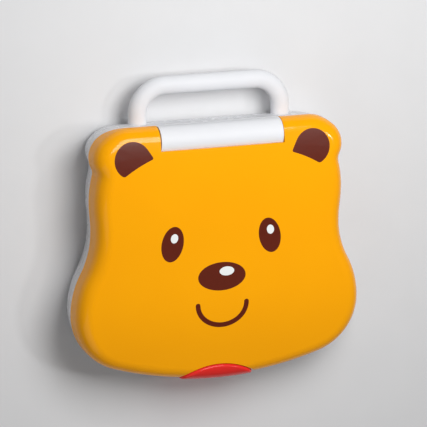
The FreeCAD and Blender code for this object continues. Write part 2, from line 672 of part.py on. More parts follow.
def lid_shell():
    """Orange head-shaped lid, hollow below, with its hinge notch and latch arch."""
    solid = lid_block(0, Z_RIM)
    shell = solid.cut(lid_block(LID_WALL, Z_RIM - LID_WALL))
    added = [
        solid.common(notch(LID_WALL, NOTCH_HALF + PIN_BOSS)),
        solid.common(arch(ARCH_DEPTH, LID_WALL)),
    ]
    for x, y in LID_SPOTS:
        added.append(solid.common(rod_z(PILLAR_RADIUS, Z_PANEL_TOP, REACH_UP, x, y)))
    shell = shell.multiFuse(added)
    shell = shell.cut(notch(0, NOTCH_HALF))
    shell = shell.cut(arch(ARCH_DEPTH, 0))
    catch_half = NOSE_HALF + NOSE_GAP
    catch_top = Z_RIM + NOSE_LEVEL + NOSE_HEIGHT + NOSE_GAP
    catch_rear = Y_FRONT + ARCH_DEPTH + LID_WALL + OVERCUT
    shell = shell.cut(box(-catch_half, catch_half, Y_FRONT, catch_rear, Z_RIM - OVERCUT, catch_top))
    far = NOTCH_HALF + PIN_IN_LID
    shell = shell.cut(rod_x(PIN_RADIUS, -far, far, Y_HINGE, Z_HINGE))
    for x, y in LID_SPOTS:
        shell = shell.cut(rod_z(SCREW_RADIUS, Z_RIM, Z_PANEL_SEAT + SCREW_LENGTH, x, y))
    return shell


def screen_y():
    """Middle of the screen, measured from the lid's front edge."""
    return Y_FRONT + SCREEN_AHEAD


def lid_panel():
    """White panel that closes the lid, with a raised bezel round the screen pocket."""
    panel = lid_block(LID_WALL + PANEL_FIT, Z_RIM).common(
        box(-SPREAD, SPREAD, Y_FRONT, Y_HINGE - PANEL_REAR, Z_PANEL, Z_PANEL_TOP)
    )
    pin_wall = NOTCH_HALF + PIN_BOSS + PANEL_FIT
    panel = panel.cut(notch(LID_WALL + PANEL_FIT, pin_wall))
    panel = panel.cut(arch(ARCH_DEPTH, LID_WALL + PANEL_FIT))
    bezel = plate(
        SCREEN_WIDTH + 2 * BEZEL_WIDTH, SCREEN_DEPTH + 2 * BEZEL_WIDTH, SCREEN_CORNER + BEZEL_WIDTH,
        0, screen_y(), Z_PANEL - BEZEL_HEIGHT, Z_PANEL_TOP,
    )
    pocket_top = Z_PANEL + LENS_THICKNESS + CARD_THICKNESS
    pocket = plate(SCREEN_WIDTH, SCREEN_DEPTH, SCREEN_CORNER, 0, screen_y(), Z_DECK, pocket_top)
    panel = joined([panel, bezel]).cut(pocket)
    for x, y in LID_SPOTS:
        panel = panel.cut(rod_z(SCREW_HEAD_RADIUS + SCREW_FREE, Z_DECK, Z_PANEL_SEAT, x, y))
        panel = panel.cut(rod_z(SCREW_RADIUS + SCREW_FREE, Z_DECK, Z_LID, x, y))
    return panel


def screen_sheet(z0, z1):
    """Flat piece that lies in the screen pocket."""
    width = SCREEN_WIDTH - 2 * SCREEN_FIT
    depth = SCREEN_DEPTH - 2 * SCREEN_FIT
    return plate(width, depth, SCREEN_CORNER - SCREEN_FIT, 0, screen_y(), z0, z1)


def latch_lever():
    """Red rocker: a hollow crescent of the lid's own rounded edge, on a tail in front of the base."""
    low = Z_LATCH_PIN - LATCH_TAIL
    lever = lid_block(-LATCH_PROUD, low).common(arch(ARCH_DEPTH, -ARCH_GAP))
    arch_face = max(lever.Faces, key=lambda face: face.BoundBox.ZLength)
    lever = lever.makeFillet(LATCH_ROUND, [edge for edge in arch_face.Edges if edge.BoundBox.ZMin > Z_RIM])
    tail = arch(TAIL_DEPTH, -ARCH_GAP)
    lever = lever.cut(box(-SPREAD, SPREAD, -SPREAD, Y_REAR, 0, Z_RIM).cut(tail))
    lever = lever.cut(lid_block(LATCH_WALL, Z_RIM).common(arch(ARCH_DEPTH, -ARCH_GAP - LATCH_WALL)))
    front = plate(2 * ARCH_HALF, 2 * Z_LID, LATCH_CORNER, 0, low + Z_LID, -SPREAD, SPREAD)
    front.rotate(Vector(0, 0, 0), Vector(1, 0, 0), 90)
    lever = lever.common(front)
    pocket_half = KNUCKLE_HALF + KNUCKLE_GAP
    pocket = box(
        -pocket_half, pocket_half, Y_LATCH_PIN - KNUCKLE_RADIUS - KNUCKLE_GAP, Y_FRONT + ARCH_DEPTH,
        0, Z_LATCH_PIN + KNUCKLE_RADIUS + KNUCKLE_SWING,
    )
    nose_y = Y_FRONT + ARCH_DEPTH - ARCH_GAP
    nose_z = Z_RIM + NOSE_LEVEL
    nose = box(-NOSE_HALF, NOSE_HALF, nose_y - NOSE_ROOT, nose_y + NOSE_REACH, nose_z, nose_z + NOSE_HEIGHT)
    lever = joined([lever.cut(pocket), nose])
    return lever.cut(rod_x(LATCH_PIN_RADIUS, -LATCH_PIN_HALF, LATCH_PIN_HALF, Y_LATCH_PIN, Z_LATCH_PIN))


def key_cap(x, y):
    """Moulded key with a retaining flange under the deck."""
    cap = plate(KEY_WIDTH, KEY_DEPTH, KEY_CORNER, x, y, Z_KEY, Z_DECK + KEY_PROUD)
    cap = cap.makeFillet(KEY_CROWN_ROUND, [edge for edge in cap.Edges if edge.BoundBox.ZMin > Z_DECK])
    flange = plate(
        KEY_WIDTH + 2 * FLANGE_WIDER, KEY_DEPTH + 2 * FLANGE_WIDER, KEY_CORNER + FLANGE_WIDER,
        x, y, Z_KEY, Z_KEY + FLANGE_THICKNESS,
    )
    roof = Z_DECK + KEY_PROUD - KEY_WALL
    inside = plate(
        KEY_WIDTH - 2 * KEY_WALL, KEY_DEPTH - 2 * KEY_WALL, KEY_CORNER - KEY_WALL, x, y, Z_KEY, roof
    )
    return joined([cap, flange]).cut(inside.cut(rod_z(KEY_STEM, Z_KEY, roof, x, y)))


def key_dome(x, y):
    """Rubber dome between the circuit board and a key."""
    return Part.makeCone(DOME_FOOT, DOME_TOP, DOME_HEIGHT, Vector(x, y, Z_BOARD))


def circuit_board():
    """Main circuit board under the keys."""
    board = plate(
        BOARD_WIDTH, BOARD_DEPTH, BOARD_SPOT_INSET - SCREW_RADIUS,
        0, KEYS_Y, Z_BOARD - BOARD_THICKNESS, Z_BOARD,
    )
    for x, y in BOARD_SPOTS:
        board = board.cut(rod_z(SCREW_RADIUS + SCREW_FREE, 0, Z_DECK, x, y))
    return board


def speaker():
    """Small loudspeaker: flange, basket and magnet, turned about one axis."""
    top = Z_CEILING
    magnet_top = top - SPEAKER_HEIGHT + MAGNET_HEIGHT
    profile = [
        (0, top - SPEAKER_FLANGE),
        (SPEAKER_RADIUS - 2 * SPEAKER_FLANGE, top - SPEAKER_FLANGE / 2),
        (SPEAKER_RADIUS - SPEAKER_FLANGE, top),
        (SPEAKER_RADIUS, top),
        (SPEAKER_RADIUS, top - SPEAKER_FLANGE),
        (MAGNET_RADIUS + SPEAKER_FLANGE, magnet_top),
        (MAGNET_RADIUS, magnet_top),
        (MAGNET_RADIUS, top - SPEAKER_HEIGHT),
        (0, top - SPEAKER_HEIGHT),
        (0, top - SPEAKER_FLANGE),
    ]
    wire = Part.makePolygon([Vector(SPEAKER_X + radius, ROW_Y, z) for radius, z in profile])
    return Part.Face(wire).revolve(Vector(SPEAKER_X, ROW_Y, 0), Vector(0, 0, 1), 360)


def dome_cap(radius, base, rise):
    """Segment of a ball that stands rise above the level base."""
    ball = (radius ** 2 + rise ** 2) / (2 * rise)
    cap = Part.makeSphere(ball, Vector(0, ROW_Y, base + rise - ball))
    return cap.common(rod_z(radius, base, base + 2 * rise, 0, ROW_Y))


def light_lens():
    """Clear domed lens in the deck, held by a flange below it."""
    shoulder = Z_DECK + LENS_SHOULDER
    rise = LENS_PROUD - LENS_SHOULDER
    inner = LENS_RADIUS - LENS_WALL
    under = Z_CEILING - LENS_WALL
    outside = joined([
        rod_z(LENS_RADIUS + LENS_FLANGE, under, Z_CEILING, 0, ROW_Y),
        rod_z(LENS_RADIUS, under, shoulder, 0, ROW_Y),
        dome_cap(LENS_RADIUS, shoulder, rise),
    ])
    return outside.cut(rod_z(inner, under, Z_DECK, 0, ROW_Y))


def light_lamp():
    """Lamp on its small round board, seated against the lens flange."""
    seat = Z_CEILING - LENS_WALL
    disc = rod_z(LENS_RADIUS + LENS_FLANGE, seat - LAMP_DISC, seat, 0, ROW_Y)
    body = rod_z(LAMP_RADIUS, seat, seat + LAMP_HEIGHT - LAMP_RADIUS, 0, ROW_Y)
    ball = Part.makeSphere(LAMP_RADIUS, Vector(0, ROW_Y, seat + LAMP_HEIGHT - LAMP_RADIUS))
    return joined([disc, body, ball])


def switch_base():
    """Underside of the slide switch."""
    return Z_CEILING - RUN_GAP - SHOE_THICKNESS - RUN_GAP - SWITCH_HEIGHT


def power_slider():
    """Ridged thumb slider at its off end, with a shoe below the deck and a tongue in the switch."""
    x = SLIDER_X - SLIDER_TRAVEL / 2
    knob_low = Z_DECK + RUN_GAP
    knob = plate(KNOB_LENGTH, KNOB_WIDTH, KNOB_CORNER, x, ROW_Y, knob_low, knob_low + KNOB_HEIGHT)
    for step in (-1, 0, 1):
        groove_x = x + step * RIDGE_PITCH
        knob = knob.cut(box(
            groove_x - RIDGE_WIDTH / 2, groove_x + RIDGE_WIDTH / 2, ROW_Y - KNOB_WIDTH, ROW_Y + KNOB_WIDTH,
            knob_low + KNOB_HEIGHT - RIDGE_DEPTH, Z_LID,
        ))
    shoe_top = Z_CEILING - RUN_GAP
    shoe_low = shoe_top - SHOE_THICKNESS
    neck = plate(
        NECK_LENGTH, NECK_WIDTH, NECK_CORNER, x, ROW_Y, shoe_low - SWITCH_GROOVE, knob_low + KNOB_HEIGHT / 2
    )
    shoe = plate(
        NECK_LENGTH + 2 * SHOE_WIDER, NECK_WIDTH + 2 * SHOE_WIDER, SHOE_WIDER / 2,
        x, ROW_Y, shoe_low, shoe_top,
    )
    return joined([knob, neck, shoe])


def power_switch():
    """Slide switch on its ribs, with a groove for the slider's tongue."""
    low = switch_base()
    high = low + SWITCH_HEIGHT
    body = plate(SWITCH_LENGTH, SWITCH_WIDTH, SHOE_WIDER / 2, SLIDER_X, ROW_Y, low, high)
    groove_half = (NECK_LENGTH + SLIDER_TRAVEL) / 2 + KEY_GAP
    groove_wide = NECK_WIDTH / 2 + KEY_GAP
    return body.cut(box(
        SLIDER_X - groove_half, SLIDER_X + groove_half, ROW_Y - groove_wide, ROW_Y + groove_wide,
        high - SWITCH_GROOVE, high + OVERCUT,
    ))


def battery_door():
    """Flush door of the battery bay, with a cup that sinks its screw's head."""
    top = Z_BOTTOM + DOOR_THICKNESS
    door = plate(DOOR_WIDTH, DOOR_DEPTH, DOOR_CORNER - DOOR_FIT, 0, DOOR_Y, Z_BOTTOM, top)
    door = joined([door, rod_z(DOOR_CUP, Z_BOTTOM, Z_DOOR_CUP, *DOOR_SCREW)])
    door = door.cut(rod_z(SCREW_HEAD_RADIUS + SCREW_FREE, 0, Z_DOOR_SEAT, *DOOR_SCREW))
    return door.cut(rod_z(SCREW_RADIUS + SCREW_FREE, 0, Z_DECK, *DOOR_SCREW))


def cell_rows():
    """Y of each cell's axis, and which way its positive end points along X."""
    first = BAY_Y - (CELL_COUNT - 1) / 2 * CELL_PITCH
    return [(first + index * CELL_PITCH, 1 if index % 2 == 0 else -1) for index in range(CELL_COUNT)]


def batteries():
    """AA cells side by side on the door, alternately turned."""
    axis_z = Z_BOTTOM + DOOR_THICKNESS + CELL_RADIUS
    half = CELL_LENGTH / 2
    cells = []
    for y, way in cell_rows():
        can_near, can_far = sorted((-way * half, way * (half - CELL_NUB)))
        nub_near, nub_far = sorted((way * (half - 2 * CELL_NUB), way * half))
        can = rod_x(CELL_RADIUS, can_near, can_far, y, axis_z)
        cells.append(can.fuse(rod_x(CELL_NUB_RADIUS, nub_near, nub_far, y, axis_z)).removeSplitter())
    return Part.makeCompound(cells)


def battery_contacts():
    """Plated contact at each cell end: a plate on the bay wall and a spring cone to the cell."""
    axis_z = Z_BOTTOM + DOOR_THICKNESS + CELL_RADIUS
    half = BAY_LENGTH / 2
    wide = CONTACT_WIDTH / 2
    contacts = []
    for y, way in cell_rows():
        for side in (1, -1):
            near, far = sorted((side * half, side * (half - CONTACT_PLATE)))
            leaf = box(near, far, y - wide, y + wide, axis_z - wide, axis_z + wide)
            foot, tip = (BUTTON_FOOT, BUTTON_TIP) if side == way else (SPRING_FOOT, SPRING_TIP)
            cone = Part.makeCone(
                foot, tip, CONTACT_ROOM - CONTACT_PLATE,
                Vector(side * (half - CONTACT_PLATE), y, axis_z), Vector(-side, 0, 0),
            )
            contacts.append(leaf.fuse(cone).removeSplitter())
    return Part.makeCompound(contacts)


def rubber_feet():
    """Four rubber feet let into the floor."""
    return Part.makeCompound([rod_z(FOOT_RADIUS, 0, Z_BOTTOM + FOOT_SEAT, x, y) for x, y in FOOT_SPOTS])


def screws(spots, seat, length, up):
    """Group of like screws."""
    return Part.makeCompound([screw(x, y, seat, length, up) for x, y in spots])


carry_handle = handle()
lens_low = Z_PANEL
card_low = Z_PANEL + LENS_THICKNESS
pieces = {
    "base_lower_shell": lower_shell(carry_handle),
    "base_deck": deck(carry_handle),
    "carry_handle": carry_handle,
    "hinge_barrel": hinge_barrel(),
    "hinge_screws": screws(BARREL_SPOTS, Z_CEILING, SCREW_LENGTH, 1),
    "hinge_pin_left": hinge_pin(-1),
    "hinge_pin_right": hinge_pin(1),
    "rubber_feet": rubber_feet(),
    "battery_door": battery_door(),
    "battery_door_screw": screw(*DOOR_SCREW, Z_DOOR_SEAT, SCREW_LENGTH, 1),
    "batteries": batteries(),
    "battery_contacts": battery_contacts(),
    "main_circuit_board": circuit_board(),
    "board_screws": screws(BOARD_SPOTS, Z_BOARD, SCREW_LENGTH - BOARD_THICKNESS, -1),
    "base_screws": screws(BASE_SPOTS, Z_SCREW_SEAT, SCREW_LENGTH, 1),
    "speaker": speaker(),
    "light_lens": light_lens(),
    "light_lamp": light_lamp(),
    "power_slider": power_slider(),
    "power_switch": power_switch(),
    "lid_shell": lid_shell(),
    "lid_inner_panel": lid_panel(),
    "screen_lens": screen_sheet(lens_low, card_low),
    "picture_card": screen_sheet(card_low, card_low + CARD_THICKNESS),
    "lid_screws": screws(LID_SPOTS, Z_PANEL_SEAT, SCREW_LENGTH, 1),
    "latch_lever": latch_lever(),
    "latch_pin": rod_x(LATCH_PIN_RADIUS, -LATCH_PIN_HALF, LATCH_PIN_HALF, Y_LATCH_PIN, Z_LATCH_PIN),
}
for column, row, x, y in key_spots():
    pieces["key_%d_%d" % (row, column)] = key_cap(x, y)
    pieces["key_dome_%d_%d" % (row, column)] = key_dome(x, y)

os.makedirs("parts", exist_ok=True)
for name, shape in pieces.items():
    shape.exportStep("parts/%s.step" % name)
    print(name, len(shape.Solids), shape.isValid(), round(shape.Volume, 1))
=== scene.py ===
import json
import math

import bmesh
import bpy
from mathutils import Matrix, Vector
from mathutils.bvhtree import BVHTree

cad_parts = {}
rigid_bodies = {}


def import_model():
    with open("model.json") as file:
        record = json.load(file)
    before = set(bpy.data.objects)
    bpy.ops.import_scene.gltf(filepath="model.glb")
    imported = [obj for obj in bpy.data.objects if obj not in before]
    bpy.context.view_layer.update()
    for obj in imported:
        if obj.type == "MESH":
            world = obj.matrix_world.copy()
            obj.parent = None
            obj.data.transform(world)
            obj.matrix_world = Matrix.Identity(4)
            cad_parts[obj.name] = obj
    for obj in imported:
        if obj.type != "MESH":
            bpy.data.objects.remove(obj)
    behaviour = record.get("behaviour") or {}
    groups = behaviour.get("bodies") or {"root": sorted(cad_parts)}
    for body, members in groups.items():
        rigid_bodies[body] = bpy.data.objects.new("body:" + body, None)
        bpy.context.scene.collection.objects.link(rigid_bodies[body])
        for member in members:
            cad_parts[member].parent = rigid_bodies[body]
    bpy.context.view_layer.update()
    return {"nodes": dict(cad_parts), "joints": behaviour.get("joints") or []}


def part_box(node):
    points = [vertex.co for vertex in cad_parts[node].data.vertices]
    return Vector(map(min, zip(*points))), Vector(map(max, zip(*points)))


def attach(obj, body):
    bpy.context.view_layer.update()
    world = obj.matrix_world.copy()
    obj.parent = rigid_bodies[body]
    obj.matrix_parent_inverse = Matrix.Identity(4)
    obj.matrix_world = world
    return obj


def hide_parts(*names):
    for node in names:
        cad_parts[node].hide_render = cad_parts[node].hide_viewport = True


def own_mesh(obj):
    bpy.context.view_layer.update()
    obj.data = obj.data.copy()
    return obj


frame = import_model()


# Lower half of the base: a tray of white ABS with rounded walls, injection moulded in one piece.
# It carries the feet, the battery bay and the screw pillars, and the handle's ends lie in its rim.
# A satin-polished mould leaves almost flat colour, a soft gloss and a slow ripple.

# Sizes are in millimetres, angles in degrees, and the frame is in metres.
MM = 0.001
ABS_IOR = 1.54
ABS_SPECULAR = 0.25
ROUGHNESS_LEAST = 0.95
ROUGHNESS_MOST = 1.06
GLOSS_SPOTS_PER_FLOW = 4
nodes = frame["nodes"]


def linear(hex_colour):
    """Linear RGBA of an sRGB hex colour."""
    channels = [int(hex_colour[start:start + 2], 16) / 255 for start in (1, 3, 5)]
    return [c / 12.92 if c <= 0.04045 else ((c + 0.055) / 1.055) ** 2.4 for c in channels] + [1.0]


def add(tree, kind, settings, links):
    """Adds a node, sets its inputs and properties, and links its inputs.

    An input goes by its name, or by its number where several have the same name.
    """
    node = tree.nodes.new(kind)
    for name, value in settings.items():
        if isinstance(name, int) or name in node.inputs:
            node.inputs[name].default_value = value
        else:
            setattr(node, name, value)
    for name, source in links.items():
        tree.links.new(source, node.inputs[name])
    return node


def blank_material(name):
    """A material with its own shader and the coordinates of its piece, in metres."""
    material = bpy.data.materials.new(name)
    material.use_nodes = True
    tree = material.node_tree
    place = add(tree, "ShaderNodeTexCoord", {}, {}).outputs["Object"]
    return material, tree, tree.nodes["Principled BSDF"], place


def moulded_abs(name, colour, flow_colour, roughness, flow_mm, peel_mm, peel_depth_mm):
    """ABS from a polished mould: faint flow in its colour, uneven gloss and the mould's slow ripple.

    Cast epoxy and smooth paper give the eye the same, so they are made by it too.
    """
    material, tree, shader, place = blank_material(name)
    shader.inputs["IOR"].default_value = ABS_IOR
    shader.inputs["Specular IOR Level"].default_value = ABS_SPECULAR
    flow = add(tree, "ShaderNodeTexNoise", {"Scale": 1 / (flow_mm * MM), "Detail": 2.0}, {"Vector": place})
    mix = add(tree, "ShaderNodeMix", {"data_type": "RGBA", "A": linear(colour), "B": linear(flow_colour)},
              {"Factor": flow.outputs["Fac"]})
    tree.links.new(mix.outputs["Result"], shader.inputs["Base Color"])
    gloss = add(tree, "ShaderNodeTexNoise", {"Scale": GLOSS_SPOTS_PER_FLOW / (flow_mm * MM), "Detail": 3.0},
                {"Vector": place})
    rough = add(tree, "ShaderNodeMapRange",
                {"To Min": roughness * ROUGHNESS_LEAST, "To Max": roughness * ROUGHNESS_MOST},
                {"Value": gloss.outputs["Fac"]})
    tree.links.new(rough.outputs["Result"], shader.inputs["Roughness"])
    peel = add(tree, "ShaderNodeTexNoise", {"Scale": 1 / (peel_mm * MM), "Detail": 1.0}, {"Vector": place})
    bump = add(tree, "ShaderNodeBump", {"Strength": 1.0, "Distance": peel_depth_mm * MM},
               {"Height": peel.outputs["Fac"]})
    tree.links.new(bump.outputs["Normal"], shader.inputs["Normal"])
    return material


def dress(node, material):
    """Gives a piece of the frame its finish."""
    mesh = nodes[node].data
    mesh.materials.clear()
    mesh.materials.append(material)


WHITE_ABS = moulded_abs("white_abs_satin", "#E7E8EB", "#E0E1E5", roughness=0.27, flow_mm=38, peel_mm=8,
                        peel_depth_mm=0.003)
dress("base_lower_shell", WHITE_ABS)


# Rubber feet: four discs of black moulded rubber, pressed into round seats in the floor of the base.
# The rubber is matt, with a fine pitted grain and a paler bloom.

def grained_rubber(name, colour, bloom_colour, roughness, grain_mm, grain_depth_mm=0.03, bloom_mm=6):
    """Moulded rubber, silicone or nylon: matt, with a pitted grain and a paler bloom.

    The grain is drawn coarser than the real one, so that it shows.
    """
    material, tree, shader, place = blank_material(name)
    shader.inputs["IOR"].default_value = 1.52
    shader.inputs["Roughness"].default_value = roughness
    bloom = add(tree, "ShaderNodeTexNoise", {"Scale": 1 / (bloom_mm * MM), "Detail": 4.0}, {"Vector": place})
    mix = add(tree, "ShaderNodeMix", {"data_type": "RGBA", "A": linear(colour), "B": linear(bloom_colour)},
              {"Factor": bloom.outputs["Fac"]})
    tree.links.new(mix.outputs["Result"], shader.inputs["Base Color"])
    grain = add(tree, "ShaderNodeTexVoronoi", {"Scale": 1 / (grain_mm * MM)}, {"Vector": place})
    bump = add(tree, "ShaderNodeBump", {"Strength": 0.6, "Distance": grain_depth_mm * MM},
               {"Height": grain.outputs["Distance"]})
    tree.links.new(bump.outputs["Normal"], shader.inputs["Normal"])
    return material


BLACK_RUBBER = grained_rubber("black_rubber_moulded", "#1B1B1D", "#2B2B2E", roughness=0.78, grain_mm=0.6)
dress("rubber_feet", BLACK_RUBBER)


# Screws, hinge pins, the latch's pin and the battery contacts: steel wire and strip, zinc plated.
# The bright plate is a pale metal with a faint crystal mottle, which breaks up its gloss.

def zinc_plated_steel(name, crystal_mm):
    """Plated steel: pale metal with a mottle in its colour and gloss.

    The crystals are drawn coarser than the real ones, so that they show.
    """
    material, tree, shader, place = blank_material(name)
    shader.inputs["Metallic"].default_value = 1.0
    mottle = add(tree, "ShaderNodeTexNoise", {"Scale": 1 / (crystal_mm * MM), "Detail": 4.0},
                 {"Vector": place})
    mix = add(tree, "ShaderNodeMix", {"data_type": "RGBA", "A": linear("#C4C6C8"), "B": linear("#A9ABAD")},
              {"Factor": mottle.outputs["Fac"]})
    tree.links.new(mix.outputs["Result"], shader.inputs["Base Color"])
    rough = add(tree, "ShaderNodeMapRange", {"To Min": 0.22, "To Max": 0.42},
                {"Value": mottle.outputs["Fac"]})
    tree.links.new(rough.outputs["Result"], shader.inputs["Roughness"])
    return material


ZINC_STEEL = zinc_plated_steel("zinc_plated_steel", crystal_mm=1.2)
for steel_node in ("base_screws", "board_screws", "battery_door_screw", "hinge_screws", "lid_screws",
                   "hinge_pin_left", "hinge_pin_right", "latch_pin", "battery_contacts"):
    dress(steel_node, ZINC_STEEL)


# Battery door: a plate of the same white ABS, let flush into the floor of the base and held by one screw.
# Its mould was spark-eroded, so it is a shade greyer than the base, with a fine even grain that is drawn
# coarser than the real one, so that it shows.

dress("battery_door", moulded_abs("white_abs_spark_eroded", "#E2E3E6", "#D9DADE", roughness=0.42,
                                  flow_mm=20, peel_mm=0.8, peel_depth_mm=0.02))


# Three AA cells in the bay: drawn steel cans in a shrunk plastic sleeve.
# The sleeve is a dark glossy film with a copper-coloured end, and faint ripples from its shrinking.

def sleeved_can(name, shoulder_x_mm, ripple_mm):
    """Shrunk sleeve on a steel can, with a copper-coloured end beyond the shoulder."""
    material, tree, shader, place = blank_material(name)
    shader.inputs["Metallic"].default_value = 0.35
    axes = add(tree, "ShaderNodeSeparateXYZ", {}, {"Vector": place})
    shoulder = add(tree, "ShaderNodeMath", {"operation": "GREATER_THAN", 1: shoulder_x_mm * MM},
                   {0: axes.outputs["X"]})
    mix = add(tree, "ShaderNodeMix", {"data_type": "RGBA", "A": linear("#232427"), "B": linear("#B4763C")},
              {"Factor": shoulder.outputs["Value"]})
    tree.links.new(mix.outputs["Result"], shader.inputs["Base Color"])
    ripple = add(tree, "ShaderNodeTexNoise", {"Scale": 1 / (ripple_mm * MM), "Detail": 2.0},
                 {"Vector": place})
    rough = add(tree, "ShaderNodeMapRange", {"To Min": 0.25, "To Max": 0.4},
                {"Value": ripple.outputs["Fac"]})
    tree.links.new(rough.outputs["Result"], shader.inputs["Roughness"])
    return material


dress("batteries", sleeved_can("shrink_sleeved_steel", shoulder_x_mm=11, ripple_mm=2))


# Circuit board under the keys: fibreglass laminate with etched copper runs under green solder mask.
# The mask is a glossy lacquer, paler and slightly raised where it crosses the copper.

# Distance from band to band of a wave node whose scale is 1.
WAVE_PITCH = math.pi / 10


def solder_mask(name, run_pitch_mm, run_height_mm, zone_mm):
    """Green solder mask over copper runs, which lie along X in some square zones and along Y in others."""
    material, tree, shader, place = blank_material(name)
    shader.inputs["Roughness"].default_value = 0.32
    run_scale = WAVE_PITCH / (run_pitch_mm * MM)
    waves = [add(tree, "ShaderNodeTexWave", {"bands_direction": way, "Scale": run_scale}, {"Vector": place})
             for way in "XY"]
    zones = add(tree, "ShaderNodeTexVoronoi", {"distance": "CHEBYCHEV", "Scale": 1 / (zone_mm * MM)},
                {"Vector": place})
    shares = add(tree, "ShaderNodeSeparateColor", {}, {"Color": zones.outputs["Color"]})
    turned_zone = add(tree, "ShaderNodeMath", {"operation": "GREATER_THAN", 1: 0.5},
                      {0: shares.outputs["Red"]})
    wave = add(tree, "ShaderNodeMix", {}, {"Factor": turned_zone.outputs["Value"],
                                           "A": waves[0].outputs["Fac"], "B": waves[1].outputs["Fac"]})
    copper = add(tree, "ShaderNodeMapRange", {"From Min": 0.68, "From Max": 0.78},
                 {"Value": wave.outputs["Result"]})
    mix = add(tree, "ShaderNodeMix", {"data_type": "RGBA", "A": linear("#0E5A33"), "B": linear("#2E8A55")},
              {"Factor": copper.outputs["Result"]})
    tree.links.new(mix.outputs["Result"], shader.inputs["Base Color"])
    bump = add(tree, "ShaderNodeBump", {"Strength": 0.4, "Distance": run_height_mm * MM},
               {"Height": copper.outputs["Result"]})
    tree.links.new(bump.outputs["Normal"], shader.inputs["Normal"])
    return material


dress("main_circuit_board",
      solder_mask("solder_masked_laminate", run_pitch_mm=1.6, run_height_mm=0.04, zone_mm=14))


# Domes that spring the keys: twelve cups of grey silicone, compression moulded, standing on the board.
# Each has a flange at its foot, a thin web that folds as its key goes down, a boss that meets the key
# and a stud inside that then touches the board. Silicone is matt, with a fine grain and a faint bloom.

DOME_SILICONE = grained_rubber("grey_silicone_moulded", "#B7BBBE", "#C6C9CC", roughness=0.6, grain_mm=0.7)
DOME_BOSS_RADIUS = 4.0
DOME_BOSS_HEIGHT = 1.4
DOME_FLANGE_WIDTH = 1.3
DOME_FLANGE_HEIGHT = 0.7
DOME_EDGE_ROUND = 0.4
DOME_WALL = 0.8
DOME_STUD_RADIUS = 2.2
DOME_STUD_HEIGHT = 0.9
DOME_STEPS = 5
DOME_SIDES = 32
WELD_REACH = 0.0005
SHARP_ANGLE = 40
joints = {joint["name"]: joint for joint in frame["joints"]}


def quarter_arc(radius, height, reach, rise):
    """Quarter of an ellipse about a radius and a height, from straight above them round to the outside."""
    turns = [math.pi / 2 * i / DOME_STEPS for i in range(DOME_STEPS + 1)]
    return [(radius + reach * math.sin(a), height + rise * math.cos(a)) for a in turns]


def rounded_edge(radius, height):
    """The rounded edge of a disc of a radius, at a height."""
    return quarter_arc(radius - DOME_EDGE_ROUND, height - DOME_EDGE_ROUND, DOME_EDGE_ROUND, DOME_EDGE_ROUND)


def dome_section(foot_radius, height):
    """Half section of a dome as radii and heights, from the top of its boss round to the stud inside."""
    shoulder = height - DOME_BOSS_HEIGHT
    ceiling = shoulder - DOME_WALL
    stud_end = ceiling - DOME_STUD_HEIGHT
    spread = foot_radius - DOME_FLANGE_WIDTH - DOME_BOSS_RADIUS
    boss = [(0, height)] + rounded_edge(DOME_BOSS_RADIUS, height)
    web = quarter_arc(DOME_BOSS_RADIUS, DOME_FLANGE_HEIGHT, spread, shoulder - DOME_FLANGE_HEIGHT)
    flange = rounded_edge(foot_radius, DOME_FLANGE_HEIGHT) + [(foot_radius, 0)]
    inside = quarter_arc(DOME_BOSS_RADIUS - DOME_WALL, 0, spread, ceiling)[::-1]
    stud = [(DOME_STUD_RADIUS, ceiling), (DOME_STUD_RADIUS, stud_end), (0, stud_end)]
    return boss + web + flange + inside + stud


def banded(form, loops):
    """Joins closed loops of corners, each to the next, by a band of four-sided faces."""
    for first, second in zip(loops, loops[1:]):
        for i, corner in enumerate(first):
            form.faces.new((corner, first[i - 1], second[i - 1], second[i]))


def turned(section, foot):
    """A form turned about an upright axis at a foot, from a half section that starts and ends on it."""
    form = bmesh.new()
    angles = [math.tau * i / DOME_SIDES for i in range(DOME_SIDES)]
    banded(form, [[form.verts.new(foot + Vector((radius * math.cos(a), radius * math.sin(a), height)) * MM)
                   for a in angles] for radius, height in section])
    return form


def piece_of(form, name, material, body):
    """Welds a form, smooths it between its edges and makes it a piece that rides with a body."""
    bmesh.ops.remove_doubles(form, verts=form.verts, dist=WELD_REACH * MM)
    bmesh.ops.recalc_face_normals(form, faces=form.faces)
    mesh = bpy.data.meshes.new(name)
    form.to_mesh(mesh)
    form.free()
    mesh.shade_smooth()
    mesh.set_sharp_from_angle(angle=math.radians(SHARP_ANGLE))
    mesh.materials.append(material)
    piece = bpy.data.objects.new(name, mesh)
    bpy.context.scene.collection.objects.link(piece)
    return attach(piece, body)


for dome_node in [node for node in nodes if node.startswith("key_dome_")]:
    low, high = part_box(dome_node)
    dome_foot = Vector(((low.x + high.x) / 2, (low.y + high.y) / 2, low.z))
    dome_height = high.z - low.z
    dome_form = turned(dome_section((high.x - low.x) / 2 / MM, dome_height / MM), dome_foot)
    dome = piece_of(dome_form, "silicone_" + dome_node, DOME_SILICONE, "base")
    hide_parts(dome_node)
    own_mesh(dome)


# Loudspeaker below the grille, and the slide switch at the other side of the light.
# The cone is black felted paper, pressed in rings about its axis, and the switch is grained black nylon.

def middle_of(node):
    """Middle of a piece of the frame."""
    return sum(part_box(node), Vector()) / 2


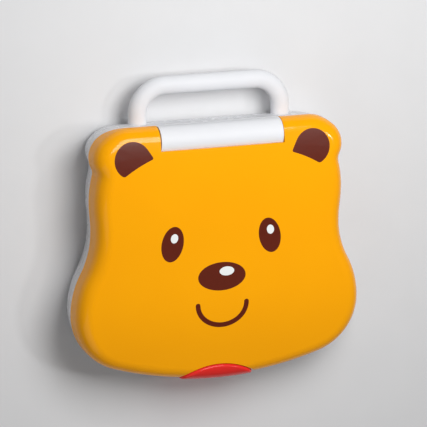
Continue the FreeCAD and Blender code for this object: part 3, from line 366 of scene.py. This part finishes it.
def pressed_paper(name, centre, ring_mm, ring_depth_mm):
    """Black felted paper with pressed rings about an axis."""
    material, tree, shader, place = blank_material(name)
    shader.inputs["Roughness"].default_value = 0.85
    about = add(tree, "ShaderNodeVectorMath", {"operation": "SUBTRACT", 1: (centre.x, centre.y, 0)},
                {0: place})
    rings = add(tree, "ShaderNodeTexWave",
                {"wave_type": "RINGS", "rings_direction": "Z", "Scale": WAVE_PITCH / (ring_mm * MM),
                 "Distortion": 0.3}, {"Vector": about.outputs["Vector"]})
    mix = add(tree, "ShaderNodeMix", {"data_type": "RGBA", "A": linear("#141415"), "B": linear("#222224")},
              {"Factor": rings.outputs["Fac"]})
    tree.links.new(mix.outputs["Result"], shader.inputs["Base Color"])
    bump = add(tree, "ShaderNodeBump", {"Strength": 0.5, "Distance": ring_depth_mm * MM},
               {"Height": rings.outputs["Fac"]})
    tree.links.new(bump.outputs["Normal"], shader.inputs["Normal"])
    return material


dress("speaker", pressed_paper("black_paper_pressed", middle_of("speaker"), ring_mm=2, ring_depth_mm=0.2))
BLACK_NYLON = grained_rubber("black_nylon_moulded", "#161618", "#202022", roughness=0.6, grain_mm=0.8)
dress("power_switch", BLACK_NYLON)


# Light behind the keys: a lamp cast in milky epoxy, under a dome of amber polystyrene.
# The dome is moulded clear, so it shows the lamp through a strong tint and a bright gloss.

def clear_polystyrene(name, tint, pale_tint, cover, haze_mm=9):
    """Clear moulded polystyrene: see-through apart from a share of cover, with a faint haze."""
    material, tree, shader, place = blank_material(name)
    shader.inputs["IOR"].default_value = 1.59
    shader.inputs["Alpha"].default_value = cover
    haze = add(tree, "ShaderNodeTexNoise", {"Scale": 1 / (haze_mm * MM), "Detail": 2.0}, {"Vector": place})
    rough = add(tree, "ShaderNodeMapRange", {"To Min": 0.04, "To Max": 0.08},
                {"Value": haze.outputs["Fac"]})
    tree.links.new(rough.outputs["Result"], shader.inputs["Roughness"])
    mix = add(tree, "ShaderNodeMix", {"data_type": "RGBA", "A": linear(tint), "B": linear(pale_tint)},
              {"Factor": haze.outputs["Fac"]})
    tree.links.new(mix.outputs["Result"], shader.inputs["Base Color"])
    return material


dress("light_lens", clear_polystyrene("amber_polystyrene_clear", "#FF9420", "#FFA030", cover=0.7))
dress("light_lamp", moulded_abs("milky_epoxy_cast", "#F3F1E4", "#E9E6D2", roughness=0.2, flow_mm=6,
                                peel_mm=2, peel_depth_mm=0.004))


# Deck: the white upper half of the base, moulded like the lower one and screwed to it from below.
# In front of the power slider it has an O and an I, pad-printed at the two ends of its travel.
# Such ink is an opaque satin film, hardly proud of the plastic and a little mottled where it is thin.

dress("base_deck", WHITE_ABS)
INK_RISE = 0.05
INK_ROOT = -0.3
ABOVE_ALL = 100


def printing_ink(name, colour, thin_colour, roughness, mottle_mm=3):
    """Printing ink: opaque, with a faint mottle where the film is thinner."""
    material, tree, shader, place = blank_material(name)
    shader.inputs["IOR"].default_value = 1.5
    shader.inputs["Specular IOR Level"].default_value = ABS_SPECULAR
    shader.inputs["Roughness"].default_value = roughness
    mottle = add(tree, "ShaderNodeTexNoise", {"Scale": 1 / (mottle_mm * MM), "Detail": 3.0},
                 {"Vector": place})
    mix = add(tree, "ShaderNodeMix", {"data_type": "RGBA", "A": linear(colour), "B": linear(thin_colour)},
              {"Factor": mottle.outputs["Fac"]})
    tree.links.new(mix.outputs["Result"], shader.inputs["Base Color"])
    return material


def skin_of(node):
    """The surface of a piece of the frame, to lay ink on."""
    mesh = nodes[node].data
    return BVHTree.FromPolygons([v.co for v in mesh.vertices], [p.vertices[:] for p in mesh.polygons])


def on_skin(skin, x, y, rise):
    """The highest point of a skin at x, y, raised by a height, all in millimetres."""
    hit = skin.ray_cast(Vector((x * MM, y * MM, ABOVE_ALL * MM)), Vector((0, 0, -1)))[0]
    return hit + Vector((0, 0, rise * MM))


def glyph(name, text, spot, height, material, body):
    """A letter or figure of ink, of a height in millimetres, with its middle at a spot on a flat face."""
    font = bpy.data.curves.new(name, "FONT")
    font.body = text
    font.extrude = (INK_RISE - INK_ROOT) / 2
    holder = bpy.data.objects.new(name, font)
    mesh = bpy.data.meshes.new_from_object(holder)
    film = bmesh.new()
    film.from_mesh(mesh)
    for spare, store in ((holder, bpy.data.objects), (font, bpy.data.curves), (mesh, bpy.data.meshes)):
        store.remove(spare)
    low = Vector([min(v.co[axis] for v in film.verts) for axis in range(3)])
    high = Vector([max(v.co[axis] for v in film.verts) for axis in range(3)])
    middle = (low + high) / 2
    scale = height / (high.y - low.y)
    centre = spot + Vector((0, 0, (INK_RISE + INK_ROOT) / 2 * MM))
    for v in film.verts:
        across = (v.co - middle) * MM
        v.co = centre + Vector((across.x * scale, across.y * scale, across.z))
    piece_of(film, name, material, body)


GREY_INK = printing_ink("grey_printing_ink", "#6C7076", "#777B81", roughness=0.35)
MARK_HEIGHT = 5.5
MARK_AHEAD = 11.5
deck_skin = skin_of("base_deck")
slider_middle = middle_of("power_slider") / MM
for mark, text, travel in zip(("off", "on"), "OI", joints["power_slide"]["range_m"]):
    mark_spot = on_skin(deck_skin, slider_middle.x + travel / MM, slider_middle.y - MARK_AHEAD, 0)
    glyph("power_mark_" + mark, text, mark_spot, MARK_HEIGHT, GREY_INK, "base")


# Keys: glossy ABS caps in one colour for each row, held under the deck by their flanges.
# Their tops are pad-printed in white: figures in the rear row, letters in the middle, shapes in front.

WHITE_INK = printing_ink("white_printing_ink", "#F0F2F2", "#E8ECEC", roughness=0.32)
LEGEND_HEIGHT = 9.0
LEGEND_RINGS = 1
CORNER_ROUND = 0.7
OUTLINE_STEP = 0.4


def regular(count, radii, first_angle):
    """Corners at even angles about the middle, at radii taken in turn."""
    angles = [math.radians(first_angle + 360 * i / count) for i in range(count)]
    return [radii[i % len(radii)] * Vector((math.cos(a), math.sin(a))) for i, a in enumerate(angles)]


def rounded(corners, radius):
    """Evenly spaced points along a closed outline, averaged over a reach that rounds its corners."""
    points = []
    for here, following in zip(corners, corners[1:] + corners[:1]):
        count = max(1, round((following - here).length / OUTLINE_STEP))
        points += [here.lerp(following, i / count) for i in range(count)]
    reach = max(1, round(radius / OUTLINE_STEP))
    window = range(-reach, reach + 1)
    return [sum((points[(i + j) % len(points)] for j in window), Vector((0, 0))) / len(window)
            for i in range(len(points))]


def nested(points, middle, rings):
    """Copies of an outline drawn in towards a middle, from the rim inwards."""
    return [[middle + (p - middle) * ring / rings for p in points] for ring in range(rings, -1, -1)]


def ink_film(name, skin, loops, rise, material, body):
    """Film of ink that follows a skin: nested outlines from the rim inwards, closed below the surface."""
    film = bmesh.new()
    top = [[film.verts.new(on_skin(skin, p.x, p.y, rise)) for p in loop] for loop in loops]
    root = [[film.verts.new(on_skin(skin, p.x, p.y, INK_ROOT)) for p in loop] for loop in loops]
    banded(film, top[::-1] + root)
    piece_of(film, name, material, body)


DISC = regular(48, radii=(4.8,), first_angle=0)
TRIANGLE = regular(3, radii=(6.2,), first_angle=90)
SQUARE = regular(4, radii=(6.2,), first_angle=45)
STAR = regular(10, radii=(6.4, 2.9), first_angle=90)
# Rows from the front: colour, colour of the flow in it, and legends.
KEY_ROWS = (
    ("#2C7FD0", "#2875C4", (DISC, TRIANGLE, SQUARE, STAR)),
    ("#5CB531", "#54A92B", "ABCD"),
    ("#E23A33", "#D6322C", "1234"),
)
for row, (key_colour, key_flow, legends) in enumerate(KEY_ROWS, 1):
    key_abs = moulded_abs("key_abs_row_%d" % row, key_colour, key_flow, roughness=0.2, flow_mm=14, peel_mm=4,
                          peel_depth_mm=0.005)
    for column, legend in enumerate(legends, 1):
        key = "key_%d_%d" % (row, column)
        dress(key, key_abs)
        key_middle = middle_of(key) / MM
        key_skin = skin_of(key)
        if isinstance(legend, str):
            key_top = on_skin(key_skin, key_middle.x, key_middle.y, 0)
            glyph(key + "_legend", legend, key_top, LEGEND_HEIGHT, WHITE_INK, key)
        else:
            shape = [p + key_middle.xy for p in rounded(legend, CORNER_ROUND)]
            shape_loops = nested(shape, key_middle.xy, LEGEND_RINGS)
            ink_film(key + "_legend", key_skin, shape_loops, INK_RISE, WHITE_INK, key)


# Thumb slider of the power switch: a ridged knob of red ABS, polished like the latch.
# It rides in a slot of the deck on a neck that reaches down to the switch.

RED_ABS = moulded_abs("red_abs_polished", "#F0312B", "#E62A25", roughness=0.18, flow_mm=20, peel_mm=6,
                      peel_depth_mm=0.005)
dress("power_slider", RED_ABS)


# Carrying handle and hinge barrel: white ABS like the base, the handle a round bar in the form of a U
# and the barrel a hollow half-round cover with a boss for a pin at each end, screwed down from below.
# Their moulds were finely blasted, so they are duller than the base and hide the marks of hands.

BLASTED_WHITE = moulded_abs("white_abs_fine_blasted", "#E5E6E9", "#DEDFE3", roughness=0.55, flow_mm=38,
                            peel_mm=6, peel_depth_mm=0.005)
dress("carry_handle", BLASTED_WHITE)
dress("hinge_barrel", BLASTED_WHITE)


# Lid: the animal's head, one shell of orange ABS moulded against a polished cavity.
# Two steel pins, pressed into the sides of its notch, turn in the barrel and let it open.
# The colour is even and strong, with a clear gloss that shows the dome's slow curves.

dress("lid_shell", moulded_abs("orange_abs_polished", "#FFAC00", "#FBA600", roughness=0.13, flow_mm=60,
                               peel_mm=9, peel_depth_mm=0.003))


# Inside of the lid: a white ABS panel, screwed to six pillars, with a raised bezel round its screen.
# The screen is a sheet of clear polystyrene over a card, printed with a sun and clouds over hills.

dress("lid_inner_panel", WHITE_ABS)
dress("screen_lens", clear_polystyrene("polystyrene_clear", "#EAF3F8", "#F4F8FA", cover=0.12))
HORIZON = -10
SKY_TOP = 40
SUN_X = 36
SUN_Y = 21
CLOUD_WHITE = "#F7FBFD"
# Round parts of the picture: colour, place across and up from the card's middle, and radius.
SUN = (("#FFE08A", SUN_X, SUN_Y, 13.5), ("#FFD02E", SUN_X, SUN_Y, 10.5))
CLOUDS = ((CLOUD_WHITE, -38, 17, 6), (CLOUD_WHITE, -30, 20, 8), (CLOUD_WHITE, -21, 17, 6),
          (CLOUD_WHITE, 0, 25, 4.5), (CLOUD_WHITE, 6, 27, 6), (CLOUD_WHITE, 12.5, 25, 4.5))
# Hills: colour, mean height, swell above and below it, length for one radian of the wave, and its start.
HILLS = (("#86C552", -9, 8, 27, 0.5), ("#55A63E", -23, 6, 34, 2.6))


def printed_card(name, centre):
    """Coated card with a printed picture, whose top is towards the lid's front; places in millimetres."""
    material, tree, shader, place = blank_material(name)
    shader.inputs["Roughness"].default_value = 0.5
    about = add(tree, "ShaderNodeVectorMath", {"operation": "SUBTRACT", 1: centre}, {0: place})
    flat = add(tree, "ShaderNodeVectorMath", {"operation": "MULTIPLY", 1: (1 / MM, -1 / MM, 0)},
               {0: about.outputs["Vector"]})
    axes = add(tree, "ShaderNodeSeparateXYZ", {}, {"Vector": flat.outputs["Vector"]})
    height = add(tree, "ShaderNodeMapRange", {"From Min": HORIZON, "From Max": SKY_TOP},
                 {"Value": axes.outputs["Y"]})
    picture = add(tree, "ShaderNodeMix",
                  {"data_type": "RGBA", "A": linear("#C6E8F6"), "B": linear("#62B5E6")},
                  {"Factor": height.outputs["Result"]})
    masks = []
    for colour, x, y, radius in SUN + CLOUDS:
        away = add(tree, "ShaderNodeVectorMath", {"operation": "DISTANCE", 1: (x, y, 0)},
                   {0: flat.outputs["Vector"]})
        inside = add(tree, "ShaderNodeMath", {"operation": "LESS_THAN", 1: radius},
                     {0: away.outputs["Value"]})
        masks.append((colour, inside))
    for colour, mean, swell, length, start in HILLS:
        along = add(tree, "ShaderNodeMath", {"operation": "MULTIPLY_ADD", 1: 1 / length, 2: start},
                    {0: axes.outputs["X"]})
        wave = add(tree, "ShaderNodeMath", {"operation": "SINE"}, {0: along.outputs["Value"]})
        ridge = add(tree, "ShaderNodeMath", {"operation": "MULTIPLY_ADD", 1: swell, 2: mean},
                    {0: wave.outputs["Value"]})
        below = add(tree, "ShaderNodeMath", {"operation": "LESS_THAN"},
                    {0: axes.outputs["Y"], 1: ridge.outputs["Value"]})
        masks.append((colour, below))
    for colour, mask in masks:
        picture = add(tree, "ShaderNodeMix", {"data_type": "RGBA", "B": linear(colour)},
                      {"Factor": mask.outputs["Value"], "A": picture.outputs["Result"]})
    tree.links.new(picture.outputs["Result"], shader.inputs["Base Color"])
    return material


dress("picture_card", printed_card("coated_card_printed", middle_of("picture_card")))


# Face: eyes, nose, mouth and ear patches pad-printed on the lid in brown ink, with white glints.
# The pad lays the face slightly turned about the chin and the ears a little uneven, and the film follows
# the lid's dome.

BROWN_INK = printing_ink("brown_printing_ink", "#5A1C0A", "#63200F", roughness=0.34)
GLINT_RISE = 0.09
FACE_RINGS = 8
OVAL_SIDES = 64
PRINT_TURN = 0.95
PRINT_PIVOT_Y = -81.0
EYE_X = 41.25
EYE_Y = -4.9
EYE_HALVES = (9.2, 14.65)
EYE_LEAN = 11.4
EYE_GLINT_HALVES = (3.05, 3.85)
EYE_GLINT_ASIDE = 1.1
EYE_GLINT_INWARD = 0.55
EYE_GLINT_UP = 4.65
NOSE_X = 0.0
NOSE_Y = -35.0
NOSE_HALVES = (20.15, 11.65)
NOSE_GLINT_X = 4.25
NOSE_GLINT_Y = -31.0
NOSE_GLINT_HALVES = (6.2, 3.7)
MOUTH_Y = -57.7
MOUTH_HALF = 20.6
MOUTH_DEPTH = 17.7
MOUTH_STROKE = 4.0
MOUTH_STEPS = 48
MOUTH_END_STEPS = 8
EAR_CENTRE = Vector((76.0, 65.5))
EAR_RADIUS = 15.0
EAR_LOW_ANGLE = -64.2
EAR_LOW_UNEVEN = 1.7
EAR_INNER_CORNER = Vector((58.2, 64.4))
EAR_INNER_UNEVEN = 1.4
EAR_HOLLOW = 0.9
EAR_CORNER_ROUND = 2.0
EAR_STEPS = 40
lid_skin = skin_of("lid_shell")


def registered(points):
    """Points of the face as the pad lays them."""
    turn = math.radians(PRINT_TURN)
    return [Vector((p.x - turn * (p.y - PRINT_PIVOT_Y), p.y + turn * p.x)) for p in points]


def oval(x, y, halves, lean=0.0):
    """Nested ovals of two half sizes, whose tops lean by an angle in degrees, towards +X where positive."""
    middle = Vector((x, y))
    turn = Matrix.Rotation(-math.radians(lean), 2)
    circle = regular(OVAL_SIDES, radii=(1,), first_angle=0)
    points = [middle + turn @ Vector((halves[0] * p.x, halves[1] * p.y)) for p in circle]
    return [registered(loop) for loop in nested(points, middle, FACE_RINGS)]


def smile(y, half_width, depth, stroke):
    """Nested outlines of the lower half of an oval, drawn with a round-ended stroke."""
    end_angles = [math.pi * i / MOUTH_END_STEPS for i in range(1, MOUTH_END_STEPS)]
    loops = []
    for ring in range(FACE_RINGS, -1, -1):
        half = stroke / 2 * ring / FACE_RINGS
        outer = []
        inner = []
        for i in range(MOUTH_STEPS + 1):
            angle = math.pi * (1 + i / MOUTH_STEPS)
            aside = half * Vector((depth * math.cos(angle), half_width * math.sin(angle))).normalized()
            middle = Vector((half_width * math.cos(angle), y + depth * math.sin(angle)))
            outer.append(middle + aside)
            inner.append(middle - aside)
        right_end, left_end = [[Vector((end * half_width + half * math.cos(a), y + half * math.sin(a)))
                                for a in end_angles] for end in (1, -1)]
        loops.append(registered(outer + right_end + inner[::-1] + left_end))
    return loops


def ear_patch(side):
    """Nested outlines of a round patch with a straight flank and a lower edge hollowed as a parabola."""
    inner_corner = EAR_INNER_CORNER - Vector((0, side * EAR_INNER_UNEVEN))
    flank = inner_corner - EAR_CENTRE
    first = math.radians(EAR_LOW_ANGLE - side * EAR_LOW_UNEVEN)
    last = math.atan2(flank.y, flank.x) % math.tau - math.acos(EAR_RADIUS / flank.length)
    shares = [i / EAR_STEPS for i in range(EAR_STEPS + 1)]
    angles = [first + (last - first) * share for share in shares]
    corners = [EAR_CENTRE + EAR_RADIUS * Vector((math.cos(a), math.sin(a))) for a in angles]
    edge = corners[0] - inner_corner
    inward = Vector((-edge.y, edge.x)).normalized()
    for share in shares[:-1]:
        corners.append(inner_corner + share * edge + 4 * EAR_HOLLOW * share * (1 - share) * inward)
    points = [Vector((side * p.x, p.y)) for p in rounded(corners, EAR_CORNER_ROUND)]
    return nested(points, Vector((side * EAR_CENTRE.x, EAR_CENTRE.y)), FACE_RINGS)


for side, hand in ((-1, "left"), (1, "right")):
    eye = oval(side * EYE_X, EYE_Y, EYE_HALVES, -side * EYE_LEAN)
    glint_x = side * (EYE_X - EYE_GLINT_INWARD) + EYE_GLINT_ASIDE
    glint = oval(glint_x, EYE_Y + EYE_GLINT_UP, EYE_GLINT_HALVES, -side * EYE_LEAN)
    ink_film("eye_print_" + hand, lid_skin, eye, INK_RISE, BROWN_INK, "lid")
    ink_film("eye_glint_print_" + hand, lid_skin, glint, GLINT_RISE, WHITE_INK, "lid")
    ink_film("ear_print_" + hand, lid_skin, ear_patch(side), INK_RISE, BROWN_INK, "lid")
nose = oval(NOSE_X, NOSE_Y, NOSE_HALVES)
nose_glint = oval(NOSE_GLINT_X, NOSE_GLINT_Y, NOSE_GLINT_HALVES)
mouth = smile(MOUTH_Y, MOUTH_HALF, MOUTH_DEPTH, MOUTH_STROKE)
ink_film("nose_print", lid_skin, nose, INK_RISE, BROWN_INK, "lid")
ink_film("nose_glint_print", lid_skin, nose_glint, GLINT_RISE, WHITE_INK, "lid")
ink_film("mouth_print", lid_skin, mouth, INK_RISE, BROWN_INK, "lid")


# Latch: a crescent of polished red ABS that fills the arch in the lid's front edge.
# It is moulded in one with the tail below it, and rocks on a steel pin in the base.

dress("latch_lever", RED_ABS)


# Floor: a wide sheet of pale matt paper, which keeps the toy's shadow.
# The lamps are a soft one close above and behind the toy, a weak one in front and a small one that sparkles.

FLOOR_HALF = 6000
floor_corners = [(x * FLOOR_HALF * MM, y * FLOOR_HALF * MM, 0)
                 for x, y in ((-1, -1), (1, -1), (1, 1), (-1, 1))]
floor_mesh = bpy.data.meshes.new("floor")
floor_mesh.from_pydata(floor_corners, [], [(0, 1, 2, 3)])
floor_mesh.materials.append(moulded_abs("pale_paper_matt", "#E0E0E1", "#DCDCDD", roughness=0.8, flow_mm=38,
                                        peel_mm=5, peel_depth_mm=0.006))
floor = bpy.data.objects.new("floor", floor_mesh)
bpy.context.scene.collection.objects.link(floor)
LAMP_AIM = Vector((0, 0, 30)) * MM


def lamp(name, direction, distance, size, watts):
    """Square soft lamp that stands in a direction from the toy and points at it."""
    light = bpy.data.lights.new(name, "AREA")
    light.size = size * MM
    light.energy = watts
    holder = bpy.data.objects.new(name, light)
    towards = Vector(direction).normalized()
    holder.location = LAMP_AIM + distance * MM * towards
    holder.rotation_euler = towards.to_track_quat("Z", "Y").to_euler()
    bpy.context.scene.collection.objects.link(holder)


lamp("key_lamp", (0.12, 0.48, 0.87), distance=720, size=420, watts=4.5)
lamp("fill_lamp", (-0.50, -0.60, 0.63), distance=2050, size=1600, watts=4)
lamp("spark_lamp", (0.56, 0.12, 0.82), distance=2000, size=180, watts=4)

WORLD_STRENGTH = 0.18
world = bpy.data.worlds.new("studio")
world.use_nodes = True
background = world.node_tree.nodes["Background"]
background.inputs["Color"].default_value = linear("#FFFFFF")
background.inputs["Strength"].default_value = WORLD_STRENGTH
bpy.context.scene.world = world
bpy.context.scene.view_settings.view_transform = "Standard"


# Camera: it looks down on the lid from over the hinge's left end, through a long lens.
# Its right and back are given as directions in the toy's frame, and it looks at a point inside the base.

VIEW_RIGHT = Vector((0.94136, 0.0072, 0.33733))
VIEW_BACK = Vector((-0.32822, 0.25128, 0.91057))
VIEW_CENTRE = Vector((3.33, 8.5, 23.89)) * MM
VIEW_DISTANCE = 3901.5 * MM
camera_data = bpy.data.cameras.new("camera")
camera_data.sensor_width = 36
camera_data.lens = 408.86
camera_data.clip_end = 50
camera = bpy.data.objects.new("camera", camera_data)
turn = Matrix((VIEW_RIGHT, VIEW_BACK.cross(VIEW_RIGHT), VIEW_BACK)).transposed().to_4x4()
camera.matrix_world = Matrix.Translation(VIEW_CENTRE + VIEW_DISTANCE * VIEW_BACK) @ turn
bpy.context.scene.collection.objects.link(camera)
bpy.context.scene.camera = camera
